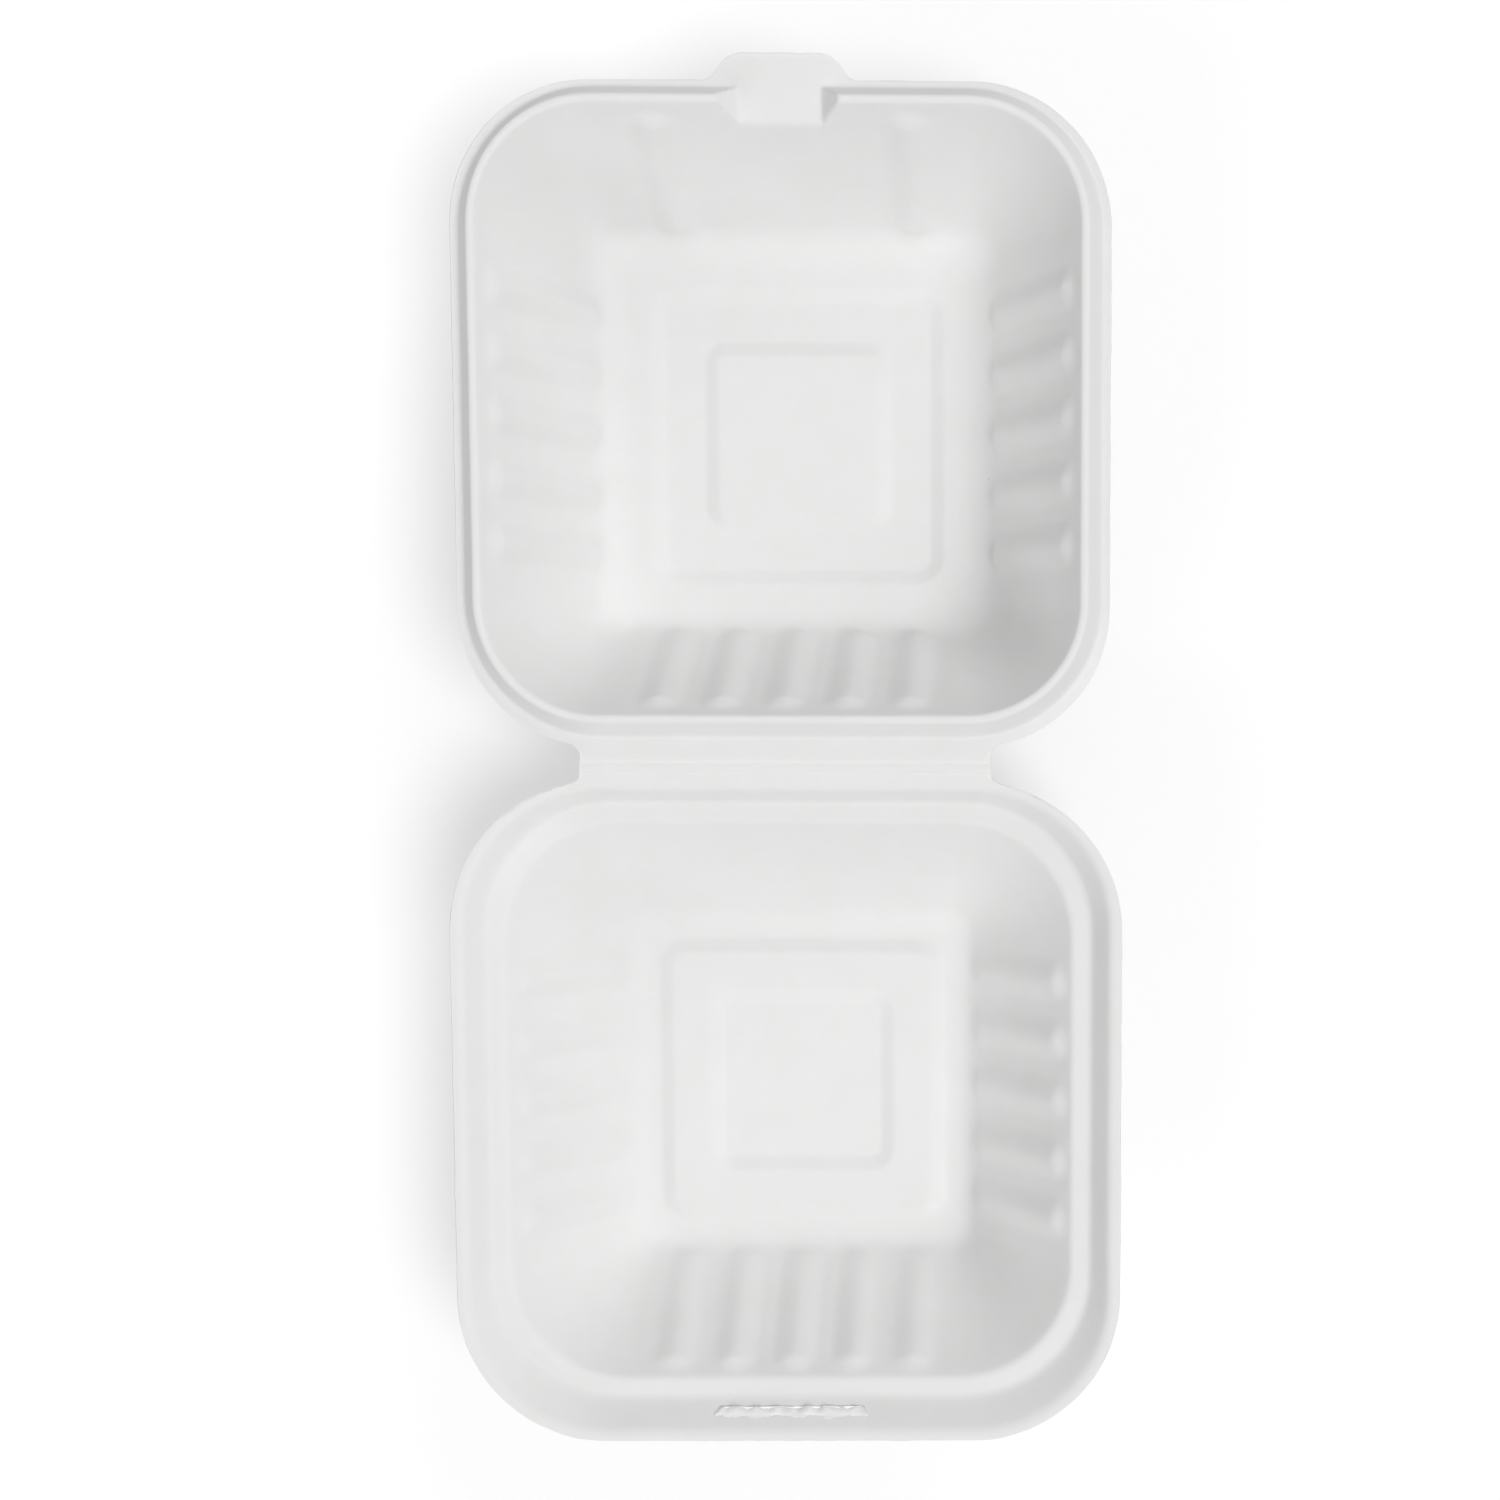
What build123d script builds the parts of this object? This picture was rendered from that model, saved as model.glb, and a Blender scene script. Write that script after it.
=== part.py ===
from build123d import *
from math import sqrt
import os

# Moulded fibre clamshell box, laid open flat: the base lies on -Y of the fold and the lid on +Y.
# The fold runs along X above the origin, and the box stands on Z = 0.

# Sheet and common heights
stock = 0.7
rim_height = 40.0
emboss = 1.6
overrun = 20.0

# Base: lip, riser, ledge and tray, from the outer edge inwards
base_width = 152.0
base_back = 3.0
base_corner = 34.0
lip_side = 2.8
lip_front = 2.2
lip_back = 1.8
lip_bevel = 0.8
riser_run_side = 3.85
riser_run_back = 3.1
ledge_depth = 6.5
ledge_width = 4.6
ledge_corner = 30.5
ledge_bevel = 1.0
base_run = 24.75
base_floor_corner = 3.25

# Lid: flange, plug and tray, sized from the base that they close into
lid_back = 4.7
lid_corner = 31.0
flange_clearance = 0.4
flange_width = 1.9
flange_back = 2.3
crest_clearance = 1.65
crest_width = 1.6
crest_bevel = 0.5
lid_run = 20.6
lid_floor_corner = 5.4
seat_clearance = 0.3

# Fold: its axis lies this far above the rims, and the scored edges meet along it
fold_rise = 0.15
fold_gap = 0.1
fold_inset = 29.0
fold_score = 0.35
fold_fillet = 3.0

# Tab on the lid, the notch behind it and the slot in the base
tab_root = 29.0
tab_tip = 21.0
tab_length = 5.8
tab_bend = 2.6
notch_floor = 18.6
notch_mouth = 26.2
slot_clearance = 3.5
slot_height = 3.4
slot_share = 0.4

# Ribs pressed into the walls
rib_pitch_share = 0.175
rib_width = 7.6
rib_height = 1.3
rib_stop = 1.7
rib_taper = 4.0
rib_root = 0.4
floor_bend = 5.0
rib_places = (-2, -1, 0, 1, 2)
outer_rib_places = (-2, 2)

# Squares pressed into both floors, so that closed boxes stack
ring_inset = 6.9
ring_corner = 5.0
ring_width = 12.5
pad_corner = 4.0
emboss_run = 3.6
stack_clearance = 0.7

# Heights that follow
base_floor_top = stock
lid_floor_top = emboss + stock
ledge_top = rim_height - ledge_depth
base_depth = ledge_top - base_floor_top
plug_height = ledge_depth + 2 * fold_rise - seat_clearance
crest_top = rim_height + plug_height
lid_depth = crest_top - lid_floor_top

# Base sizes that follow
riser_width = base_width - 2 * lip_side
riser_back = base_back + lip_back
riser_front = base_back + base_width - lip_front
riser_corner = base_corner - lip_side
ledge_outer = riser_width - 2 * riser_run_side
base_middle = riser_back + riser_run_back + ledge_outer / 2
base_mouth = ledge_outer - 2 * ledge_width
base_mouth_corner = base_floor_corner + base_run
base_floor = base_mouth - 2 * base_run
base_lean = base_run / base_depth
base_skin = stock * (sqrt(1 + base_lean**2) - base_lean)
slot_length = tab_root + 2 * slot_clearance
fold_width = base_width - 2 * fold_inset

# Lid sizes that follow
lid_width = riser_width - 2 * flange_clearance
plug_width = lid_width - 2 * flange_width
lid_middle = lid_back + flange_back + plug_width / 2
crest_outer = ledge_outer - 2 * crest_clearance
lid_mouth = crest_outer - 2 * crest_width
lid_mouth_corner = lid_floor_corner + lid_run
lid_floor = lid_mouth - 2 * lid_run
lid_lean = lid_run / lid_depth
lid_skin = stock * sqrt(1 + lid_lean**2)
drop_lean = (plug_width - crest_outer) / 2 / plug_height
drop_skin = stock * sqrt(1 + drop_lean**2)
drop_foot = plug_width + 2 * drop_lean * stock
drop_corner = lid_mouth_corner + crest_width + drop_lean * (plug_height + stock)

# Rib and square sizes that follow
rib_pitch = rib_pitch_share * base_floor
rib_radius = (rib_width**2 / 4 + rib_height**2) / (2 * rib_height)
ring_side = base_floor - 2 * ring_inset
pad_side = ring_side - 2 * ring_width


def between(low, high, share):
    """Value part of the way from low to high."""
    return low + share * (high - low)


def outline(width, length, corner, middle, height):
    """Rounded rectangle at a height, its middle on the Y axis."""
    with BuildSketch(Plane.XY.offset(height)) as sketch:
        with Locations((0, middle)):
            RectangleRounded(width, length, corner)
    return sketch.sketch


def frustum(width, corner, middle, height, rise, run):
    """Rounded square at a height, drawn up or down by a rise while its sides close in by a run."""
    wide = width / 2
    low, high = (wide - run, wide) if rise < 0 else (wide, wide - run)
    centre = wide - corner
    tall = abs(rise)
    stand = Plane(origin=(0, middle, min(height, height + rise)))
    with BuildPart(stand) as solid:
        for heading in (0, 90):
            with BuildSketch(stand.rotated((0, 0, heading)) * Plane.XZ):
                with BuildLine():
                    Polyline((-low, 0), (low, 0), (high, tall), (-high, tall), close=True)
                make_face()
            extrude(amount=centre, both=True)
        with PolarLocations(sqrt(2) * centre, 4, start_angle=45):
            Cone(
                low - centre,
                high - centre,
                tall,
                arc_size=90,
                rotation=(0, 0, -45),
                align=(Align.NONE, Align.NONE, Align.MIN),
            )
    return solid.part


def riser(height, thickness):
    """Outline of the base's riser at a height, grown by the sheet's thickness across each slope."""
    share = (height - ledge_top) / ledge_depth
    edges = {
        "side": (ledge_outer / 2, riser_width / 2),
        "back": (ledge_outer / 2 - base_middle, -riser_back),
        "front": (ledge_outer / 2 + base_middle, riser_front),
    }
    grown = {}
    for name, (low, high) in edges.items():
        lean = (high - low) / ledge_depth
        grown[name] = between(low, high, share) + thickness * sqrt(1 + lean**2)
    corner = between(ledge_corner, riser_corner, share) + grown["side"] - between(*edges["side"], share)
    length = grown["back"] + grown["front"]
    return outline(2 * grown["side"], length, corner, grown["back"] - length / 2, height)


def pressed_square(side, corner, middle, height, rise):
    """Square pressed into a floor: its foot lies at a height and its face a rise above or below."""
    return frustum(side + emboss_run, corner + emboss_run / 2, middle, height, rise, emboss_run)


def rib_bars(middle, floor, lean, floor_top, stop_height, radius, rows):
    """Bars under the walls of a tray, cut off at a slant at both ends, in one row for each wall's heading."""
    slant = sqrt(1 + lean**2)
    low = floor_bend * (slant - lean) + rib_stop
    high = (stop_height - floor_top) * slant
    sunk = rib_radius - radius
    root = -sunk - rib_root * rib_height / rib_taper
    with BuildPart() as bar:
        with BuildSketch(Plane.XZ):
            with BuildLine():
                Polyline(
                    (low - rib_root, root),
                    (low + 2 * rib_taper, 2 * rib_height - sunk),
                    (high - 2 * rib_taper, 2 * rib_height - sunk),
                    (high + rib_root, root),
                    (high + rib_root, -2 * rib_radius),
                    (low - rib_root, -2 * rib_radius),
                    close=True,
                )
            make_face()
        extrude(amount=rib_width, both=True)
        with Locations((0, 0, rib_height - rib_radius)):
            Cylinder(radius, 2 * (high + rib_pitch), rotation=(0, 90, 0), mode=Mode.INTERSECT)
    with BuildPart() as bars:
        for heading, places in rows.items():
            tray = Plane(origin=(0, middle, floor_top)).rotated((0, 0, heading))
            climb = tray.from_local_coords((lean, 0, 1)) - tray.origin
            inward = tray.from_local_coords((-1, 0, lean)) - tray.origin
            for place in places:
                foot = tray.from_local_coords((floor / 2, place * rib_pitch, 0))
                with Locations(Plane(origin=foot, x_dir=climb, z_dir=inward)):
                    add(bar.part)
    return bars.part


base_rows = {0: rib_places, 180: rib_places, 270: rib_places}
lid_rows = {0: rib_places, 180: rib_places, 270: rib_places, 90: outer_rib_places}
base_rib_top = ledge_top - rib_stop
lid_rib_top = rim_height - stock

# Groove under the fold, which thins the sheet to a hinge
with BuildPart() as fold_groove:
    with BuildSketch(Plane.YZ):
        with BuildLine():
            Polyline(
                (0, rim_height - stock + fold_score),
                (fold_score + stock, rim_height - 2 * stock),
                (-fold_score - stock, rim_height - 2 * stock),
                close=True,
            )
        make_face()
    extrude(amount=base_width, both=True)

# Base: the hollow above the sheet
with BuildPart() as base_hollow:
    add(frustum(base_mouth, base_mouth_corner, -base_middle, ledge_top, -base_depth, base_run))
    fillet(base_hollow.edges().group_by(Axis.Z)[0], floor_bend)
    loft([riser(ledge_top, 0), riser(rim_height - lip_bevel, 0), riser(rim_height, lip_bevel)], ruled=True)
    with BuildSketch(Plane.XY.offset(rim_height)):
        with Locations((0, -base_middle)):
            Rectangle(2 * base_width, 2 * base_width)
    extrude(amount=2 * overrun)
    level_faces = base_hollow.faces().filter_by(Plane.XY).group_by(Axis.Z)
    chamfer(level_faces[-3][0].inner_wires()[0].edges(), ledge_bevel)
    add(
        rib_bars(-base_middle, base_floor, base_lean, base_floor_top, base_rib_top, rib_radius, base_rows),
        mode=Mode.SUBTRACT,
    )
    add(pressed_square(ring_side, ring_corner, -base_middle, base_floor_top, emboss), mode=Mode.SUBTRACT)
    add(pressed_square(pad_side, pad_corner, -base_middle, base_floor_top + emboss, -emboss))

# Base: the form under the sheet, with the hollow taken out of it
with BuildPart() as base:
    add(
        frustum(
            base_mouth + 2 * base_skin,
            base_mouth_corner + base_skin,
            -base_middle,
            ledge_top - stock,
            -base_depth,
            base_run,
        )
    )
    fillet(base.edges().group_by(Axis.Z)[0], floor_bend + stock)
    loft([riser(ledge_top - stock, stock), riser(rim_height - stock, stock)], ruled=True)
    add(
        rib_bars(
            -base_middle, base_floor, base_lean, base_floor_top, base_rib_top, rib_radius - stock, base_rows
        ),
        mode=Mode.SUBTRACT,
    )
    add(pressed_square(ring_side, ring_corner, -base_middle, 0, emboss), mode=Mode.SUBTRACT)
    add(pressed_square(pad_side, pad_corner, -base_middle, emboss, -emboss))
    with BuildSketch(Plane.XY.offset(rim_height - stock)) as base_rim:
        with Locations((0, -base_back - base_width / 2)):
            RectangleRounded(base_width, base_width, base_corner)
        with Locations((0, -fold_gap / 2)):
            Rectangle(fold_width, base_corner, align=(Align.CENTER, Align.MAX))
        fillet(base_rim.vertices().sort_by(Axis.Y)[-4:-2], fold_fillet)
    extrude(amount=stock + overrun)
    add(base_hollow.part, mode=Mode.SUBTRACT)
    # The slot that takes the tab goes square through the front riser
    slot_middle = (
        0,
        -between(base_middle + ledge_outer / 2, riser_front, slot_share),
        between(ledge_top, rim_height, slot_share),
    )
    slope = (0, -ledge_depth, base_middle + ledge_outer / 2 - riser_front)
    with BuildSketch(Plane(origin=slot_middle, x_dir=(1, 0, 0), z_dir=slope)):
        SlotOverall(slot_length, slot_height)
    extrude(amount=slot_height, both=True, mode=Mode.SUBTRACT)
    add(fold_groove.part, mode=Mode.SUBTRACT)
base.part.label = "base"

# Lid: the hollow above the sheet
lid_ring = ring_side - 2 * stack_clearance
with BuildPart() as lid_hollow:
    add(frustum(lid_mouth, lid_mouth_corner, lid_middle, crest_top, -lid_depth, lid_run))
    fillet(lid_hollow.edges().group_by(Axis.Z)[0], floor_bend)
    add(
        rib_bars(lid_middle, lid_floor, lid_lean, lid_floor_top, lid_rib_top, rib_radius, lid_rows),
        mode=Mode.SUBTRACT,
    )
    add(pressed_square(lid_ring, ring_corner, lid_middle, lid_floor_top, -emboss))
    add(pressed_square(pad_side, pad_corner, lid_middle, lid_floor_top - emboss, emboss), mode=Mode.SUBTRACT)

# Lid: the form under its wall
with BuildPart() as lid_form:
    add(
        frustum(
            lid_mouth + 2 * lid_skin,
            lid_mouth_corner + lid_skin,
            lid_middle,
            crest_top,
            -lid_depth - stock,
            lid_run + lid_lean * stock,
        )
    )
    fillet(lid_form.edges().group_by(Axis.Z)[0], floor_bend + stock)
    add(
        rib_bars(
            lid_middle, lid_floor, lid_lean, lid_floor_top, lid_rib_top, rib_radius - stock, lid_rows
        ),
        mode=Mode.SUBTRACT,
    )
    add(pressed_square(lid_ring, ring_corner, lid_middle, emboss, -emboss))
    add(pressed_square(pad_side, pad_corner, lid_middle, 0, emboss), mode=Mode.SUBTRACT)


def notch(grow):
    """Wedge that parts the plug behind the tab, grown by the sheet."""
    with BuildPart() as wedge:
        with BuildSketch(Plane.XZ.offset(-lid_middle)):
            with BuildLine():
                Polyline(
                    (-notch_floor / 2 - grow, rim_height - grow),
                    (notch_floor / 2 + grow, rim_height - grow),
                    (notch_mouth / 2 + grow, crest_top),
                    (notch_mouth / 2 + grow, crest_top + overrun),
                    (-notch_mouth / 2 - grow, crest_top + overrun),
                    (-notch_mouth / 2 - grow, crest_top),
                    close=True,
                )
            make_face()
        extrude(amount=-lid_width)
    return wedge.part


# Lid: the channel inside the plug, open underneath and closed off at the notch
with BuildPart() as plug_channel:
    add(
        frustum(
            drop_foot - 2 * drop_skin,
            drop_corner - drop_skin,
            lid_middle,
            rim_height - stock,
            plug_height,
            drop_lean * plug_height,
        )
    )
    add(lid_form.part, mode=Mode.SUBTRACT)
    add(notch(stock), mode=Mode.SUBTRACT)

with BuildPart() as lid:
    add(lid_form.part)
    add(
        frustum(
            drop_foot,
            drop_corner,
            lid_middle,
            rim_height - stock,
            plug_height + stock,
            drop_lean * (plug_height + stock),
        )
    )
    with BuildSketch(Plane.XY.offset(rim_height - stock)) as lid_rim:
        with Locations((0, lid_back + lid_width / 2)):
            RectangleRounded(lid_width, lid_width, lid_corner)
        with Locations((0, fold_gap / 2)):
            Rectangle(fold_width, lid_corner, align=(Align.CENTER, Align.MIN))
        fillet(lid_rim.vertices().sort_by(Axis.Y)[2:4], fold_fillet)
        with BuildLine():
            Polyline(
                (-tab_root / 2, lid_back + lid_width),
                (-tab_tip / 2, lid_back + lid_width + tab_length),
                (tab_tip / 2, lid_back + lid_width + tab_length),
                (tab_root / 2, lid_back + lid_width),
                (tab_root / 2, lid_back + lid_width - flange_width),
                (-tab_root / 2, lid_back + lid_width - flange_width),
                close=True,
            )
        make_face()
        fillet(lid_rim.vertices().sort_by(Axis.Y)[-4:], tab_bend)
    extrude(amount=stock)
    chamfer(lid.faces().sort_by(Axis.Z)[-1].outer_wire().edges(), crest_bevel)
    add(lid_hollow.part, mode=Mode.SUBTRACT)
    add(notch(0), mode=Mode.SUBTRACT)
    add(plug_channel.part, mode=Mode.SUBTRACT)
    add(fold_groove.part, mode=Mode.SUBTRACT)
lid.part.label = "lid"

os.makedirs("parts", exist_ok=True)
export_step(base.part, "parts/base.step")
export_step(lid.part, "parts/lid.step")
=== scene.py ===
import math

import bpy
import numpy as np
from bpy.props import FloatProperty, FloatVectorProperty, IntProperty, PointerProperty
from mathutils import Euler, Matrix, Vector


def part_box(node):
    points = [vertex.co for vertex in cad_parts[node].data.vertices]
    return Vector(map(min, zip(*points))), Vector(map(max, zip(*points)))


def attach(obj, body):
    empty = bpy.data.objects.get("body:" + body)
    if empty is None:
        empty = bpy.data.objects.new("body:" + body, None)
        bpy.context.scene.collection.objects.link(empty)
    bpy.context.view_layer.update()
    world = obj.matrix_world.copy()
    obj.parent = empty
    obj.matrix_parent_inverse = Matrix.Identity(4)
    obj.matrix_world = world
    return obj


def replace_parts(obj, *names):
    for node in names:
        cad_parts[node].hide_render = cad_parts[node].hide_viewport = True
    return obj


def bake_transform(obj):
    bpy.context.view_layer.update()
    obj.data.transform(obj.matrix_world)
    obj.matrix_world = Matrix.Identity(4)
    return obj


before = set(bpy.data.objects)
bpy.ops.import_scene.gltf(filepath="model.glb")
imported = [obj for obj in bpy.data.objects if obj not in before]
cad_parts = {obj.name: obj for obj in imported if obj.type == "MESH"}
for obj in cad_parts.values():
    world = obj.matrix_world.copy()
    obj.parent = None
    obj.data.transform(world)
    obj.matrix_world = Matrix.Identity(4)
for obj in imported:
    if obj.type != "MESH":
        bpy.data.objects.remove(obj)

bl_info = {
    "name": "Moulded fibre clamshell",
    "version": (1, 0, 0),
    "blender": (4, 5, 0),
    "location": "View3D > Sidebar > Clamshell",
    "description": "Pressed pulp food box, laid open flat, with its fold, tab and slot",
    "category": "Object",
}

MM = 0.001
BASE_LOW, BASE_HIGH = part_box("base")
LID_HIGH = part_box("lid")[1]
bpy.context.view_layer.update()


def length(name, description, default):
    """Property for a size in metres."""
    return FloatProperty(
        name=name, description=description, default=default, min=0.0, unit="LENGTH", precision=5
    )


def share(name, description, default):
    """Property for a share or a strength."""
    return FloatProperty(name=name, description=description, default=default, min=0.0)


def colour(name, description, default):
    """Property for a linear colour."""
    return FloatVectorProperty(
        name=name, description=description, default=default, size=3, min=0.0, max=1.0, subtype="COLOR"
    )


def angle(name, description, degrees):
    """Property for an angle."""
    return FloatProperty(name=name, description=description, default=math.radians(degrees), subtype="ANGLE")


class ClamshellSheet(bpy.types.PropertyGroup):
    """Sizes that both trays share."""

    stock: length("Sheet", "Thickness of the pressed sheet", 0.7 * MM)
    emboss: length("Emboss", "Depth of the stacking squares", 1.6 * MM)
    emboss_run: length("Emboss run", "Width of the slope round a stacking square", 3.2 * MM)
    emboss_bend: length("Emboss bend", "Softness of the stacking squares' edges", 0.8 * MM)
    ring_side: length("Ring side", "Side of the outer stacking square", 66.2 * MM)
    ring_corner: length("Ring corner", "Corner radius of the outer square", 5.0 * MM)
    pad_side: length("Pad side", "Side of the inner stacking square", 41.2 * MM)
    pad_corner: length("Pad corner", "Corner radius of the inner square", 4.0 * MM)
    rib_pitch: length("Rib pitch", "Distance between ribs", 14.0 * MM)
    rib_half: length("Rib half width", "Reach of a rib to each side of its crest", 5.8 * MM)
    rib_height: length("Rib height", "How far a rib stands into the tray", 1.65 * MM)
    rib_low: length("Rib low end", "Lower end of a rib's crest, up the wall from the floor", 6.0 * MM)
    rib_blunt: share("Rib bluntness", "How much steeper a rib's ends fall than its sides", 1.5)
    rib_last: IntProperty(
        name="Last rib", description="Number of the outermost rib, counted from the middle", default=2
    )
    waviness: length("Waviness", "Unevenness of the dried sheet", 0.05 * MM)
    edge_wander: length("Edge wander", "Unevenness of the trimmed edge", 0.06 * MM)
    seed: IntProperty(name="Seed", description="Seed of the unevenness", default=7)


class ClamshellBase(bpy.types.PropertyGroup):
    """Sizes of the base, from its rim inwards."""

    half: length("Half width", "Half the rim's width", BASE_HIGH.x)
    rim: length("Rim height", "Height of the rim above the table", BASE_HIGH.z)
    back: length("Back", "Distance from the fold to the rim's back edge", 3.0 * MM)
    front: length("Front", "Distance from the fold to the rim's front edge", -BASE_LOW.y)
    corner: length("Corner", "Corner radius of the rim", 34.0 * MM)
    lip_side: length("Lip at the sides", "Width of the lip at the sides", 2.8 * MM)
    lip_front: length("Lip at the front", "Width of the lip at the front", 2.2 * MM)
    lip_back: length("Lip at the back", "Width of the lip at the back", 1.8 * MM)
    lip_bend: length("Lip bend", "Length of the bend inside the lip", 1.5 * MM)
    riser_side: length("Riser at the sides", "Run of the riser at the sides", 3.85 * MM)
    riser_back: length("Riser at the back", "Run of the riser at the back", 3.1 * MM)
    ledge_depth: length("Ledge depth", "Depth of the ledge under the lip", 6.5 * MM)
    ledge_width: length("Ledge width", "Width of the ledge", 4.6 * MM)
    ledge_corner: length("Ledge corner", "Outer corner radius of the ledge", 30.0 * MM)
    ledge_bend: length("Ledge bend", "Length of the bends beside the ledge", 1.2 * MM)
    mouth_corner: length("Mouth corner", "Corner radius where the wall starts", 26.5 * MM)
    wall_run: length("Wall run", "How far the wall leans in from ledge to floor", 24.75 * MM)
    floor_corner: length("Floor corner", "Corner radius of the floor", 5.0 * MM)
    floor_bend: length("Floor bend", "Length of the bend between floor and wall", 4.0 * MM)
    rib_stop: length("Rib stop", "Height between a rib's upper end and the ledge", 1.3 * MM)
    rib_taper: share("Rib taper", "Share of its height that a rib loses towards the floor", 0.45)
    slot_half: length("Slot half length", "Half the length of the slot", 17.6 * MM)
    slot_height: length("Slot height", "Height of the slot up the riser", 2.5 * MM)
    slot_share: share("Slot place", "Place of the slot's middle up the riser", 0.375)


class ClamshellLid(bpy.types.PropertyGroup):
    """Sizes of the lid, from its rim inwards."""

    half: length("Half width", "Half the rim's width", LID_HIGH.x)
    crest: length("Crest height", "Height of the plug's crest above the table", LID_HIGH.z)
    tab_tip: length("Tab tip", "Distance from the fold to the tab's tip", LID_HIGH.y)
    back: length("Back", "Distance from the fold to the rim's back edge", 4.7 * MM)
    corner: length("Corner", "Corner radius of the rim", 31.0 * MM)
    flange: length("Flange", "Width of the flange at the sides", 1.9 * MM)
    flange_back: length("Flange at the back", "Width of the flange at the fold", 2.3 * MM)
    drop_run: length("Drop run", "How far the plug's outer side leans in", 3.2 * MM)
    crest_width: length("Crest width", "Width of the plug's crest", 1.6 * MM)
    crest_bend: length("Crest bend", "Length of the bends beside the crest", 0.7 * MM)
    foot_bend: length("Foot bend", "Length of the bend at the plug's foot", 0.7 * MM)
    mouth_corner: length("Mouth corner", "Corner radius where the wall starts", 25.5 * MM)
    wall_run: length("Wall run", "How far the wall leans in from crest to floor", 20.6 * MM)
    floor_corner: length("Floor corner", "Corner radius of the floor", 6.0 * MM)
    floor_bend: length("Floor bend", "Length of the bend between floor and wall", 5.5 * MM)
    rib_stop: length("Rib stop", "Height between a rib's upper end and the crest", 3.0 * MM)
    rib_taper: share("Rib taper", "Share of its height that a rib loses towards the floor", 0.05)
    notch_floor: length("Notch floor", "Half width of the notch at its floor", 9.2 * MM)
    notch_mouth: length("Notch mouth", "Half width of the notch at the crest", 13.2 * MM)
    tab_length: length("Tab length", "How far the tab stands out", 5.8 * MM)
    tab_root: length("Tab root", "Half width of the tab at its root", 15.4 * MM)
    tab_end: length("Tab end", "Half width of the tab at its tip", 11.4 * MM)
    tab_tip_bend: length("Tab tip bend", "Radius of the tab's outer corners", 6.0 * MM)
    tab_root_bend: length("Tab root bend", "Radius where the tab leaves the flange", 4.0 * MM)


class ClamshellFold(bpy.types.PropertyGroup):
    """Sizes of the scored fold."""

    half: length("Half width", "Half the width of the scored band", 1.2 * MM)
    reach: length("Reach", "Half the length of the fold", 46.1 * MM)
    fillet: length("Fillet", "Radius at the ends of the fold", 3.0 * MM)
    crease: length("Crease", "Distance of each crease from the fold's middle", 0.9 * MM)
    crease_half: length("Crease half width", "Half the width of a crease", 0.22 * MM)
    crease_depth: length("Crease depth", "Depth of a crease", 0.07 * MM)
    score: length("Score", "Depth of the groove under the fold", 0.3 * MM)


class ClamshellTongue(bpy.types.PropertyGroup):
    """Sizes of the torn tongue left in the slot."""

    reach: length("Reach", "How far the torn fibre hangs into the slot", 1.75 * MM)
    lap: length("Lap", "How far torn fibre lies on the riser beyond the slot", 0.35 * MM)
    ragged: length("Raggedness", "Unevenness of the torn edge", 0.22 * MM)
    thick: length("Thickness", "Thickness of the torn fibre", 0.4 * MM)
    dip: angle("Dip", "How steeply the torn fibre hangs", 24)
    seed: IntProperty(name="Seed", description="Seed of the torn edge", default=3)


class ClamshellFinish(bpy.types.PropertyGroup):
    """Colours and scales of the pulp."""

    pulp: colour("Pulp", "Colour of the bleached pulp", (0.83, 0.83, 0.828))
    cloud: colour("Cloud", "Colour where the pulp lies thinner", (0.812, 0.812, 0.806))
    fleck: colour("Fleck", "Colour of the stray flecks", (0.30, 0.27, 0.22))
    torn: colour("Torn edge", "Colour of torn and trimmed fibre", (0.88, 0.88, 0.875))
    roughness: share("Roughness", "Roughness of the pressed face", 0.82)
    specular: share("Specular", "Strength of the faint shine", 0.25)
    cloud_scale: share("Cloud scale", "Clouds to the metre", 95.0)
    felt_scale: share("Felt scale", "Fibre marks to the metre", 1500.0)
    felt_depth: length("Felt depth", "Depth of the fibre marks", 0.02 * MM)
    screen_pitch: length("Screen pitch", "Pitch of the wire screen printed on the outside", 1.1 * MM)
    screen_depth: length("Screen depth", "Depth of the screen's print", 0.05 * MM)
    fleck_scale: share("Fleck scale", "Fleck cells to the metre", 110.0)


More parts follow.
